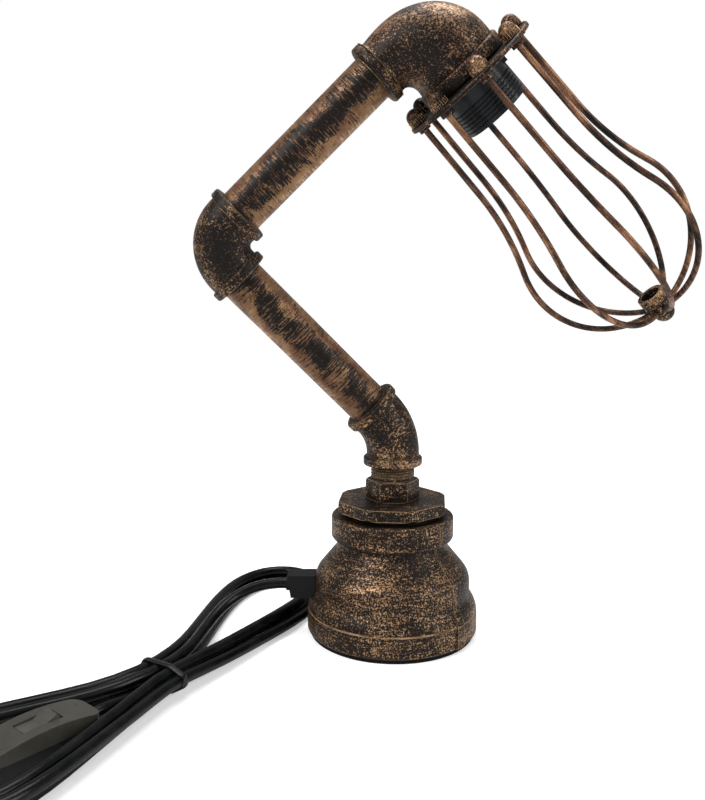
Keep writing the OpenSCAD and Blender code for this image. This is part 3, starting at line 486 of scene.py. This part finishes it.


# Fittings are speckled and the pipes brushed; the sides facing the directions named here get a painted dark
# reflection
SPECKLED, BRUSHED = (0.2, 0.66, 0.14), (0.5, 0.2, 0.3)
FRONT = (0.1, -1, 0.15)
LOW_FRONT = (-0.35, -1, -0.35)
FOOT_FINISH = aged_metal("foot_finish", FOOT, (16, 16, 1.0), cover=0.455, shift=1,
                         weights=SPECKLED, ledge=16.6)
BUSHING_FINISH = aged_metal("bushing_finish", FOOT, (5, 5, 2), cover=0.44, shift=2, edge=1.0,
                            weights=SPECKLED)
NIPPLE_FINISH = aged_metal("nipple_finish", FOOT, (5, 5, 2), cover=0.43, shift=3, edge=1.0,
                            weights=SPECKLED)
ELBOW_45_FINISH = aged_metal("elbow_45_finish", LOWER, (3, 3, 2), cover=0.465, shift=4)
ELBOW_90_FINISH = aged_metal("elbow_90_finish", UPPER, (3, 3, 2), cover=0.475, shift=5,
                             painted_dark_reflection=FRONT, depth=0.04)
HEAD_FINISH = aged_metal("head_elbow_finish", UPPER, (3, 3, 2.6), cover=0.51, shift=6,
                         light=PALE_COPPER, painted_dark_reflection=LOW_FRONT, depth=0.07)
LOWER_FINISH = aged_metal("lower_pipe_finish", LOWER, (8, 8, 0.6), cover=0.565, shift=7,
                          light=PALE_COPPER, relief=0.04, weights=BRUSHED, painted_dark_reflection=FRONT,
                          depth=0.12)
UPPER_FINISH = aged_metal("upper_pipe_finish", UPPER, (8, 8, 0.6), cover=0.56, shift=8,
                          light=PALE_COPPER, relief=0.04, weights=BRUSHED, painted_dark_reflection=FRONT,
                          depth=0.12)
WIRE_COPPER = srgb(160, 117, 86)
PLATE_FINISH = aged_metal("guard_plate_finish", HEAD, (3, 3, 3), cover=0.45, shift=12,
                          base=RED_BROWN, light=WIRE_COPPER, relief=0.03, edge=0.4)
NUT_FINISH = aged_metal("guard_nut_finish", HEAD, (3, 3, 1.2), cover=0.5, shift=13,
                        base=RED_BROWN, light=COPPER, relief=0.03, edge=0.5)
# The cage wires get a painted highlight on their outer sides and painted shade on their inner sides.
WIRE_FINISH = aged_metal("guard_wire_finish", HEAD, (2, 2, 26), cover=0.5, shift=9,
                         base=RED_BROWN, light=WIRE_COPPER, weights=(0.4, 0.2, 0.4),
                         relief=0.02, edge=0.4, soft=0.1, outside=0.03)
TRIM_FINISH = aged_metal("trim_finish", HEAD, (3, 3, 1.2), cover=0.5, shift=10, relief=0.03,
                         light=PALE_COPPER, edge=0.5)
BLACK_PLASTIC = plastic("holder_plastic", srgb(17, 20, 23), 0.3, HEAD, gloss=0.2)
OUTLET_PLASTIC = plastic("outlet_plastic", srgb(15, 15, 16), 0.5, gloss=0.15)
SWITCH_BASE_PLASTIC = plastic("switch_base_plastic", srgb(14, 14, 15), 0.4, gloss=0.2)
COVER_PLASTIC = plastic("switch_cover_plastic", srgb(52, 51, 45), 0.35, gloss=0.3)
ROCKER_PLASTIC = plastic("rocker_plastic", srgb(62, 61, 55), 0.3, gloss=0.4)
PAD_RUBBER = plastic("pad_rubber", srgb(14, 14, 14), 0.75, grain=0.35, relief=0.05, gloss=0.1)
CORD_PVC = plastic("cord_pvc", srgb(7, 8, 9), 0.26, grain=1.6, relief=0.02, gloss=0.16)
TIE_PVC = plastic("tie_pvc", srgb(16, 17, 17), 0.32, gloss=0.25)
CERAMIC = plastic("insulator_ceramic", srgb(225, 222, 214), 0.3, grain=0.7)
BRASS = bare_metal("brass", srgb(205, 165, 95))

paint(FOOT_FINISH, "base_socket")
paint(PAD_RUBBER, "base_pad")
paint(BUSHING_FINISH, "octagon_bushing")
paint(NIPPLE_FINISH, "hex_nipple")
paint(ELBOW_45_FINISH, "elbow_45")
paint(ELBOW_90_FINISH, "elbow_90")
paint(LOWER_FINISH, "lower_pipe")
paint(UPPER_FINISH, "upper_pipe")
paint(PLATE_FINISH, "cage_plate")
paint(WIRE_FINISH, "cage_wires")
paint(NUT_FINISH, "cage_nuts", "cage_collars")
paint(TRIM_FINISH, "cage_ring", "cage_finial")
paint(BLACK_PLASTIC, "holder_shell", "holder_cap")
paint(CERAMIC, "holder_insulator")
paint(BRASS, "holder_thread_shell", "holder_contact", "holder_terminals", "gland_nut",
      "switch_contacts", "switch_screws", "plug_pins")
paint(CORD_PVC, "lead_base", "lead_lower", "lead_upper", "lead_head", lead_cord, plug_cord)
paint(OUTLET_PLASTIC, "cord_gland", "plug_body")
paint(SWITCH_BASE_PLASTIC, "switch_base")
paint(COVER_PLASTIC, "switch_cover")
paint(ROCKER_PLASTIC, "switch_rocker")

# ---------------------------------------------------------------- mesh pieces

RING_SIDES = 96
SHARP_FROM = math.radians(35)


def mesh_piece(name, body, material, rings, closed=False, caps=False, at=None):
    """Smooth skin over rings of points in mm, riding on a body.

    closed joins the last ring to the first, and caps closes both ends."""
    data = bpy.data.meshes.new(name)
    sides, count = len(rings[0]), len(rings)
    points = [tuple(Vector(p) * MM) for section in rings for p in section]
    faces = []
    for i in range(count if closed else count - 1):
        a, b = i * sides, (i + 1) % count * sides
        for k in range(sides):
            j = (k + 1) % sides
            faces.append((a + k, a + j, b + j, b + k))
    if caps:
        faces.append(tuple(reversed(range(sides))))
        faces.append(tuple(range((count - 1) * sides, count * sides)))
    data.from_pydata(points, [], faces)
    if at is not None:
        data.transform(at)
    return finish_piece(data, name, body, material)


def finish_piece(data, name, body, material):
    """Object of a mesh with its normals, shading, body, slot and material."""
    bm = bmesh.new()
    bm.from_mesh(data)
    bmesh.ops.recalc_face_normals(bm, faces=bm.faces)
    bm.to_mesh(data)
    bm.free()
    obj = bpy.data.objects.new(name, data)
    bpy.context.scene.collection.objects.link(obj)
    data.shade_smooth()
    data.set_sharp_from_angle(angle=SHARP_FROM)
    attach(obj, body)
    paint(material, obj)
    return obj


def ring(radius, z, sides=RING_SIDES):
    turns = [2 * math.pi * k / sides for k in range(sides)]
    return [(radius * math.cos(a), radius * math.sin(a), z) for a in turns]


# ---------------------------------------------------------------- reducing elbow of the head

# Form of its node in finer steps, with a fuller bend and a rounded band at each end
BEND, REACH_SMALL, REACH_LARGE = 30, 38.5, 36
SMALL_R, LARGE_R = 16.5, 24.5
SOCKET_R, SOCKET_DEPTH, BORE_R = 13.3, 12, 10.3
SEAT_R, PORT_DEPTH, PORT_BORE_R = 19.6, 12, 19.2
FULLNESS, FULLNESS_OUTWARD, WIDENING = 2.3, 0.35, 1.15
BEND_STEPS, ROUND_STEPS = 40, 5
SMALL_BAND_R, SMALL_BAND_W = 18.5, 5.5
LARGE_BAND_INNER_R, LARGE_BAND_R, LARGE_BAND_W = 22, 26.75, 9


def band_profile(face, inner, body, outer, width, edge=1.3, fillet=2.2):
    """(radius, distance) points over a band, from its face at the distance face inwards."""
    quarter = [math.pi / 2 * i / ROUND_STEPS for i in range(ROUND_STEPS + 1)]
    points = [(inner, face), (outer - edge, face)]
    points += [(outer - edge + edge * math.sin(a), face - edge + edge * math.cos(a))
               for a in quarter[1:]]
    points += [(outer - edge + edge * math.cos(a), face - width + edge - edge * math.sin(a))
               for a in quarter]
    points += [(body + fillet - fillet * math.sin(a), face - width - fillet + fillet * math.cos(a))
               for a in quarter]
    return points


def elbow_ring(radius, turn_deg, shift=0.0):
    """Ring square to the bend, moved outwards from the bend's centre by shift."""
    a = math.radians(turn_deg)
    found = []
    for k in range(RING_SIDES):
        b = 2 * math.pi * k / RING_SIDES
        out = shift + radius * math.cos(b)
        found.append((BEND * (1 - math.cos(a)) - out * math.cos(a), radius * math.sin(b),
                      BEND * (math.sin(a) - 1) + out * math.sin(a)))
    return found


def straight_ring(radius, distance, end):
    """Ring on the small end's axis (end 0) or the large end's (end 90)."""
    found = []
    for x, y, z in elbow_ring(radius, end):
        extra = distance - BEND
        found.append((x, y, z - extra) if end == 0 else (x + extra, y, z))
    return found


def reducing_elbow_rings():
    """Rings from the small face over the outside to the large face and back through the bore."""
    rings = [straight_ring(r, d, 0) for r, d in
             band_profile(REACH_SMALL, SOCKET_R, SMALL_R, SMALL_BAND_R, SMALL_BAND_W)]
    for i in range(BEND_STEPS + 1):
        share = i / BEND_STEPS
        full = FULLNESS * math.sin(math.pi * share)
        radius = SMALL_R + (LARGE_R - SMALL_R) * smoothstep(share * WIDENING) + full
        rings.append(elbow_ring(radius, 90 * share, shift=full * FULLNESS_OUTWARD))
    rings += [straight_ring(LARGE_R, REACH_LARGE, 90), straight_ring(SEAT_R, REACH_LARGE, 90)]
    rings.append(straight_ring(SEAT_R, REACH_LARGE - PORT_DEPTH, 90))
    for i in range(BEND_STEPS + 1):
        share = 1 - i / BEND_STEPS
        rings.append(elbow_ring(BORE_R + (PORT_BORE_R - BORE_R) * share, 90 * share))
    rings.append(straight_ring(BORE_R, REACH_SMALL - SOCKET_DEPTH, 0))
    rings.append(straight_ring(SOCKET_R, REACH_SMALL - SOCKET_DEPTH, 0))
    return rings


AT_HEAD = place(P2, U2, U3)
head_elbow = mesh_piece("reducing_elbow_casting", "head", HEAD_FINISH,
                        reducing_elbow_rings(), closed=True, at=AT_HEAD)
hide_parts("reducing_elbow")


def large_band_rings():
    body = LARGE_R - 0.5
    profile = band_profile(REACH_LARGE, LARGE_BAND_INNER_R, body, LARGE_BAND_R, LARGE_BAND_W,
                           edge=1.6, fillet=0.6)
    inner_end = ring(LARGE_BAND_INNER_R, REACH_LARGE - LARGE_BAND_W - 0.5)
    return [ring(r, d) for r, d in reversed(profile)] + [inner_end]


mesh_piece("reducing_elbow_band", "head", HEAD_FINISH, large_band_rings(),
           closed=True, at=HEAD)


# ---------------------------------------------------------------- threads and nuts

THREAD_STEPS = 64


def thread(name, body, material, at, radius, crest, pitch, start, end, width=0.8):
    """Screw thread ridge on a cylinder, run out to nothing at both ends.

    width is the ridge's share of the pitch, and crest is less than radius in a bore."""
    turns = (end - start) / pitch - width
    count = round(turns * THREAD_STEPS)
    rings = []
    for i in range(count + 1):
        turn = i / THREAD_STEPS
        fade = min(1.0, turn / 0.25, (turns - turn) / 0.25)
        a = 2 * math.pi * turn
        z = start + pitch * (turn + width / 2)
        tip = radius + (crest - radius) * max(0.02, fade)
        half = pitch * width / 2
        section = [(radius - 0.25, -half), (radius, -half), (tip, -half * 0.28),
                   (tip, half * 0.28), (radius, half), (radius - 0.25, half)]
        rings.append([(r * math.cos(a), r * math.sin(a), z + dz) for r, dz in section])
    return mesh_piece(name, body, material, rings, caps=True, at=at)


thread("nipple_thread", "foot", NIPPLE_FINISH, FOOT, radius=13.2,
       crest=13.75, pitch=1.81, start=99.9, end=108.8)
thread("bushing_thread", "foot", BUSHING_FINISH, FOOT, radius=29.35,
       crest=29.9, pitch=1.5, start=77.05, end=79.95, width=0.7)
thread("holder_thread", "head", BLACK_PLASTIC, HEAD, radius=19.5,
       crest=20.35, pitch=2.3, start=46.2, end=62.5, width=0.55)
thread("lamp_screw_thread", "head", BRASS, HEAD, radius=13.3, crest=12.75,
       pitch=3.63, start=38.0, end=61.5, width=0.9)

NUTS, FIRST_NUT_DEG, NUT_CIRCLE_R = 8, 0.3, 36
RIBS, RIB_HALF_W = 22, 0.45
RIB_ROOT_R, RIB_TIP_R = 4.8, 5.35
RIB_ENDS = (35.6, 32.4)


def nut_knurls():
    """Fine upright ribs round the foot of each domed nut."""
    bm = bmesh.new()
    profile = ((RIB_ROOT_R, -RIB_HALF_W), (RIB_TIP_R, 0), (RIB_ROOT_R, RIB_HALF_W))
    for i in range(NUTS):
        turn = math.radians(FIRST_NUT_DEG + 360 / NUTS * i)
        cx, cy = NUT_CIRCLE_R * math.cos(turn), NUT_CIRCLE_R * math.sin(turn)
        for k in range(RIBS):
            a = 2 * math.pi * k / RIBS
            out = Vector((math.cos(a), math.sin(a), 0))
            side = Vector((-math.sin(a), math.cos(a), 0))
            corners = []
            for z in RIB_ENDS:
                for r, w in profile:
                    p = Vector((cx, cy, z)) + out * r + side * w
                    corners.append(bm.verts.new(p * MM))
            a0, a1, a2, b0, b1, b2 = corners
            for face in ((a0, a1, b1, b0), (a1, a2, b2, b1), (a0, b0, b2, a2), (a0, a2, a1),
                         (b0, b1, b2)):
                bm.faces.new(face)
    data = bpy.data.meshes.new("nut_knurls")
    bm.to_mesh(data)
    bm.free()
    data.transform(HEAD)
    return finish_piece(data, "nut_knurls", "head", TRIM_FINISH)


nut_knurls()

# ---------------------------------------------------------------- tie of the lead

TIE_HALF_T, TIE_HALF_W = 0.75, 1.7
TIE_POINTS, TIE_REACH, TIE_SIDES = 96, 40, 12
TIE_ALONG = heading_vector(TIE_HEADING)
TIE_SIDE = Vector((-TIE_ALONG.y, TIE_ALONG.x, 0))
TIE_CENTRE = Vector((TIE_X, TIE_Y, 0))
TWIST_TURNS, TWIST_STEPS, TWIST_R, TWIST_FLATNESS = 2.5, 60, 0.75, 0.35
TWIST_OUT, TWIST_ALONG, TWIST_DROP = 3.4, 7, 3.2


def strands_under_tie():
    """(sideways, height) of the lead's centre in mm wherever it passes under the tie."""
    found = []
    for a, b in zip(path_to_switch, path_to_switch[1:]):
        da, db = (a - TIE_CENTRE).dot(TIE_ALONG), (b - TIE_CENTRE).dot(TIE_ALONG)
        if da * db <= 0 and da != db and abs((a - TIE_CENTRE).dot(TIE_SIDE)) < TIE_REACH:
            at = a + (b - a) * (da / (da - db))
            found.append(((at - TIE_CENTRE).dot(TIE_SIDE), at.z))
    return found


def hull_outline(centres, radius):
    """Evenly spaced points of the tightest outline round circles of that radius."""
    points = sorted((x + dx, y + dy) for x, y in centres for dx, dy, _ in ring(radius, 0, 24))

    def chain(ordered):
        kept = []
        for p in ordered:
            while len(kept) > 1:
                (ax, ay), (bx, by) = kept[-2], kept[-1]
                if (bx - ax) * (p[1] - ay) - (by - ay) * (p[0] - ax) > 0:
                    break
                kept.pop()
            kept.append(p)
        return kept[:-1]

    corners = chain(points) + chain(points[::-1])
    lengths = [math.dist(a, b) for a, b in zip(corners, corners[1:] + corners[:1])]
    step = sum(lengths) / TIE_POINTS
    outline, walked, i = [], 0.0, 0
    for k in range(TIE_POINTS):
        while walked + lengths[i] < k * step:
            walked += lengths[i]
            i += 1
        share = (k * step - walked) / lengths[i]
        a, b = corners[i], corners[(i + 1) % len(corners)]
        outline.append(Vector((a[0] + (b[0] - a[0]) * share, a[1] + (b[1] - a[1]) * share)))
    return outline


def make_tie(outline):
    """Narrow rounded band pulled tight round the strands."""
    rings = []
    for i, at in enumerate(outline):
        tangent = (outline[(i + 1) % TIE_POINTS] - outline[i - 1]).normalized()
        normal = Vector((tangent.y, -tangent.x))
        section = []
        for k in range(TIE_SIDES):
            a = 2 * math.pi * k / TIE_SIDES
            flat = at + normal * TIE_HALF_T * math.sin(a)
            section.append(TIE_CENTRE + TIE_SIDE * flat.x + Z_UP * max(0.05, flat.y)
                           + TIE_ALONG * TIE_HALF_W * math.cos(a))
        rings.append(section)
    band = mesh_piece("lead_tie", "foot", TIE_PVC, rings, closed=True)
    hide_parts("cord_tie")


def make_tie_ends(outline):
    """The tie's two ends, twisted together and hanging down beside the strands."""
    low = min(outline, key=lambda p: p.x - 0.4 * p.y)
    start = TIE_CENTRE + TIE_SIDE * (low.x - 0.4) + Z_UP * (low.y + 2.4)
    rings = []
    for i in range(TWIST_STEPS + 1):
        share = i / TWIST_STEPS
        axis = (start - TIE_SIDE * TWIST_OUT * share - TIE_ALONG * TWIST_ALONG * share
                - Z_UP * TWIST_DROP * share ** 1.5)
        section = []
        for k in range(TIE_SIDES):
            a = 2 * math.pi * (k / TIE_SIDES + TWIST_TURNS * share)
            radius = TWIST_R + TWIST_FLATNESS * math.cos(2 * 2 * math.pi * k / TIE_SIDES)
            section.append(axis + (TIE_SIDE * math.cos(a) + Z_UP * math.sin(a)) * radius)
        rings.append(section)
    mesh_piece("lead_tie_ends", "foot", TIE_PVC, rings, caps=True)


tie_outline = hull_outline(strands_under_tie(), CORD_D / 2 + TIE_HALF_T)
make_tie(tie_outline)
make_tie_ends(tie_outline)

# ---------------------------------------------------------------- details of the plug

PLUG_L, PIN_PITCH = 36, 19
SLEEVE_R, SLEEVE_L, SLEEVE_IN = 1.9, 10, 1
RELIEF_L, RELIEF_R, RELIEF_TAPER = 24, 4.8, 1.1
RELIEF_RIBS, RELIEF_RIB_H = 4, 0.25


def make_relief():
    """Ribbed moulding that tapers from the plug along its lead."""
    walked, rings = 0.0, []
    path = path_to_plug[::-1]
    parts = 4
    for a, b in zip(path, path[1:]):
        length = (b - a).length
        side = (b - a).cross(Z_UP).normalized()
        rise = side.cross((b - a).normalized())
        for k in range(parts):
            share = k / parts
            done = (walked + share * length) / RELIEF_L
            if done > 1:
                continue
            rib = RELIEF_RIB_H * math.cos(2 * math.pi * RELIEF_RIBS * done)
            radius = RELIEF_R - RELIEF_TAPER * done + rib
            centre = a + (b - a) * share
            rings.append([centre + side * x + rise * y for x, y, _ in ring(radius, 0, 24)])
        walked += length
    mesh_piece("plug_relief", "foot", OUTLET_PLASTIC, rings, caps=True)


def make_sleeves():
    """Insulating sleeves on the roots of the plug's pins."""
    at_plug = place(path_to_plug[-1] * MM, heading_vector(PLUG_HEADING), Z_UP)
    for name, side in (("pin_sleeve_left", -1), ("pin_sleeve_right", 1)):
        at = at_plug @ Matrix.Translation((0, side * PIN_PITCH / 2 * MM, 0))
        sleeve = [ring(SLEEVE_R, z, 32) for z in (PLUG_L - SLEEVE_IN, PLUG_L + SLEEVE_L)]
        mesh_piece(name, "foot", OUTLET_PLASTIC, sleeve, caps=True, at=at)


make_relief()
make_sleeves()

# ---------------------------------------------------------------- floor and light

FLOOR_HALF, FLOOR_Z, FLOOR_GREY = 4.0, -0.0001, 0.86
GLOW_FROM, GLOW_TO = 0.4, 1.8
GLOW_NEAR, GLOW_FAR = 0.4, 0.8
AMBIENT = 0.38
AIM = (0, 0, 0.2)


def make_floor():
    """White floor that looks evenly lit to the camera and grows brighter away from the lamp."""
    data = bpy.data.meshes.new("floor")
    h = FLOOR_HALF
    data.from_pydata([(-h, -h, 0), (h, -h, 0), (h, h, 0), (-h, h, 0)], [], [(0, 1, 2, 3)])
    floor = bpy.data.objects.new("floor", data)
    floor.location.z = FLOOR_Z
    bpy.context.scene.collection.objects.link(floor)
    material = bpy.data.materials.new("floor_white")
    material.use_nodes = True
    tree = material.node_tree
    tree.nodes.clear()
    output = tree.nodes.new("ShaderNodeOutputMaterial")
    diffuse = tree.nodes.new("ShaderNodeBsdfDiffuse")
    diffuse.inputs["Color"].default_value = (FLOOR_GREY, FLOOR_GREY, FLOOR_GREY, 1)
    glow = tree.nodes.new("ShaderNodeEmission")
    rays = tree.nodes.new("ShaderNodeLightPath")
    spot = tree.nodes.new("ShaderNodeTexCoord")
    reach = tree.nodes.new("ShaderNodeVectorMath")
    reach.operation = "LENGTH"
    lift = tree.nodes.new("ShaderNodeMapRange")
    lift.inputs["From Min"].default_value = GLOW_FROM
    lift.inputs["From Max"].default_value = GLOW_TO
    lift.inputs["To Min"].default_value = GLOW_NEAR
    lift.inputs["To Max"].default_value = GLOW_FAR
    tree.links.new(spot.outputs["Object"], reach.inputs[0])
    tree.links.new(reach.outputs["Value"], lift.inputs["Value"])
    strength = tree.nodes.new("ShaderNodeMath")
    strength.operation = "MULTIPLY"
    tree.links.new(lift.outputs[0], strength.inputs[1])
    total = tree.nodes.new("ShaderNodeAddShader")
    tree.links.new(rays.outputs["Is Camera Ray"], strength.inputs[0])
    tree.links.new(strength.outputs[0], glow.inputs["Strength"])
    tree.links.new(diffuse.outputs[0], total.inputs[0])
    tree.links.new(glow.outputs[0], total.inputs[1])
    tree.links.new(total.outputs[0], output.inputs["Surface"])
    data.materials.append(material)


def make_world():
    """White surroundings at full strength for the camera and dimmer as a light."""
    world = bpy.data.worlds.new("studio")
    world.use_nodes = True
    tree = world.node_tree
    tree.nodes.clear()
    output = tree.nodes.new("ShaderNodeOutputWorld")
    background = tree.nodes.new("ShaderNodeBackground")
    background.inputs["Color"].default_value = (1, 1, 1, 1)
    rays = tree.nodes.new("ShaderNodeLightPath")
    strength = tree.nodes.new("ShaderNodeMapRange")
    tree.links.new(rays.outputs["Is Camera Ray"], strength.inputs["Value"])
    strength.inputs["To Min"].default_value = AMBIENT
    strength.inputs["To Max"].default_value = 1.0
    tree.links.new(strength.outputs[0], background.inputs["Strength"])
    tree.links.new(background.outputs[0], output.inputs["Surface"])
    bpy.context.scene.world = world


def area_light(name, location, size, power):
    """Soft light turned towards the lamp, in metres and watts."""
    data = bpy.data.lights.new(name, "AREA")
    data.shape = "RECTANGLE"
    data.size, data.size_y = size
    data.energy = power
    light = bpy.data.objects.new(name, data)
    light.location = location
    aim = Vector(AIM) - Vector(location)
    light.rotation_euler = aim.to_track_quat("-Z", "Y").to_euler()
    light.visible_camera = False
    bpy.context.scene.collection.objects.link(light)


make_floor()
make_world()
area_light("key", (-1.0, -0.8, 1.2), size=(0.6, 0.6), power=20)
area_light("fill", (1.2, -0.6, 0.7), size=(0.5, 0.9), power=11)
area_light("top", (0.1, 0.2, 1.5), size=(0.8, 0.8), power=13)
bpy.context.scene.view_settings.view_transform = "Standard"
